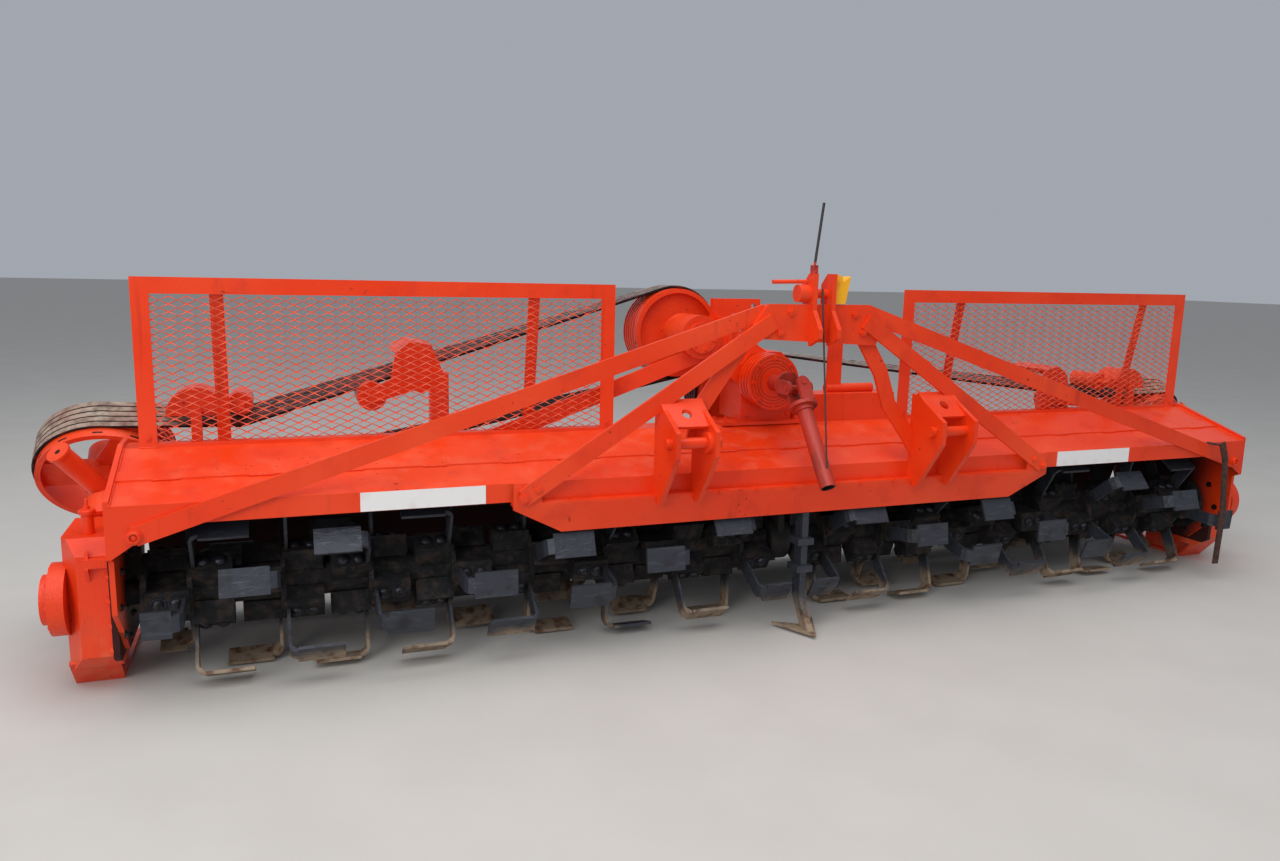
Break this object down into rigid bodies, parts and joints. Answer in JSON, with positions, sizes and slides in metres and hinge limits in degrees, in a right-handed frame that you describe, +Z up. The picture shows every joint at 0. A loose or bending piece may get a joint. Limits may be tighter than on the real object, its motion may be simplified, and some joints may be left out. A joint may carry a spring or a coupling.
{
  "type": "rotary tiller",
  "caption": "Wide three-point mounted rotary tiller with two bladed rotor halves, belt drives along its back to each end, mesh guards and a braced hitch mast.",
  "frame": {"origin": "on the ground under the middle of the machine's box", "axes": "+X to the right as seen from the front, +Y to the rear, +Z up; the hitch is at -Y"},
  "size_m": [4.9697, 1.0364, 1.5055],
  "materials": {
    "red_paint": "gloss paint, sprayed over old steel",
    "tine_steel": "dark paint, worn at the tips",
    "belt_rubber": "dusty rubber",
    "wire_steel": "dull steel",
    "rusty_steel": "bare steel with brown rust",
    "yellow_plastic": "yellow plastic",
    "white_plate": "white, blank"
  },
  "bodies": {
    "frame": {"deck": "red_paint", "rear_wall": "red_paint", "end_plate_right": "red_paint", "end_plate_left": "red_paint", "centre_bearing_hanger": "red_paint", "shank": "tine_steel", "sweep": "tine_steel", "skid_right": "red_paint", "skid_left": "red_paint", "shaft_housing_right": "red_paint", "shaft_housing_left": "red_paint", "gearcase_right": "red_paint", "gearcase_left": "red_paint", "gearbox": "red_paint", "gearbox_base": "red_paint", "slip_clutch": "red_paint", "universal_joint": "red_paint", "pto_tube": "rusty_steel", "belts_left": "belt_rubber", "belts_right": "belt_rubber", "idlers_left": "red_paint", "idlers_right": "red_paint", "guard_frame_right": "red_paint", "guard_frame_left": "red_paint", "guard_mesh_right": "red_paint", "guard_mesh_left": "red_paint", "front_beam": "red_paint", "wing_plate": "red_paint", "mast_plate_left": "red_paint", "mast_plate_right": "red_paint", "marker_rod": "tine_steel", "long_brace_left": "red_paint", "inner_brace_left": "red_paint", "long_brace_right": "red_paint", "inner_brace_right": "red_paint", "leg_left": "red_paint", "leg_right": "red_paint", "hitch_clevis_left": "red_paint", "hitch_clevis_right": "red_paint", "top_link_pin": "red_paint", "holder": "yellow_plastic", "lift_wire": "wire_steel", "hanging_bar": "rusty_steel", "blank_plates": "white_plate"},
    "rotor_left": {"rotor_left": "tine_steel"},
    "rotor_right": {"rotor_right": "tine_steel"},
    "end_sheave_left": {"sheave_left_end": "red_paint"},
    "end_sheave_right": {"sheave_right_end": "red_paint"},
    "middle_sheave_upper": {"sheave_upper": "red_paint"},
    "middle_sheave_lower": {"sheave_lower": "red_paint"},
    "tail_board": {"tail_board": "red_paint"}
  },
  "joints": [
    {"name": "left_rotor_spin", "type": "hinge", "parent": "frame", "child": "rotor_left", "pos_m": [0, -0.10325, 0.28], "axis": [1, 0, 0], "continuous": true},
    {"name": "right_rotor_spin", "type": "hinge", "parent": "frame", "child": "rotor_right", "pos_m": [0, -0.10325, 0.28], "axis": [1, 0, 0], "continuous": true},
    {"name": "left_end_sheave_spin", "type": "hinge", "parent": "frame", "child": "end_sheave_left", "pos_m": [-2.27, 0.27376, 0.55391], "axis": [0, 0.809, 0.5878], "continuous": true},
    {"name": "right_end_sheave_spin", "type": "hinge", "parent": "frame", "child": "end_sheave_right", "pos_m": [2.27, 0.27376, 0.55391], "axis": [0, 0.809, 0.5878], "continuous": true},
    {"name": "upper_sheave_spin", "type": "hinge", "parent": "frame", "child": "middle_sheave_upper", "pos_m": [-0.262, 0.24675, 1.03], "axis": [0, 1, 0], "continuous": true},
    {"name": "lower_sheave_spin", "type": "hinge", "parent": "frame", "child": "middle_sheave_lower", "pos_m": [0.02, 0.24675, 0.78], "axis": [0, 1, 0], "continuous": true},
    {"name": "tail_board_hinge", "type": "hinge", "parent": "frame", "child": "tail_board", "pos_m": [0, 0.30775, 0.374], "axis": [1, 0, 0], "range_deg": [0, 55]}
  ],
  "couplings": [
    {"joint": "right_rotor_spin", "follows": "left_rotor_spin", "ratio": 1},
    {"joint": "left_end_sheave_spin", "follows": "left_rotor_spin", "ratio": 2.5},
    {"joint": "right_end_sheave_spin", "follows": "left_rotor_spin", "ratio": -2.5},
    {"joint": "upper_sheave_spin", "follows": "left_rotor_spin", "ratio": 2.9506},
    {"joint": "lower_sheave_spin", "follows": "left_rotor_spin", "ratio": -2.9506}
  ]
}
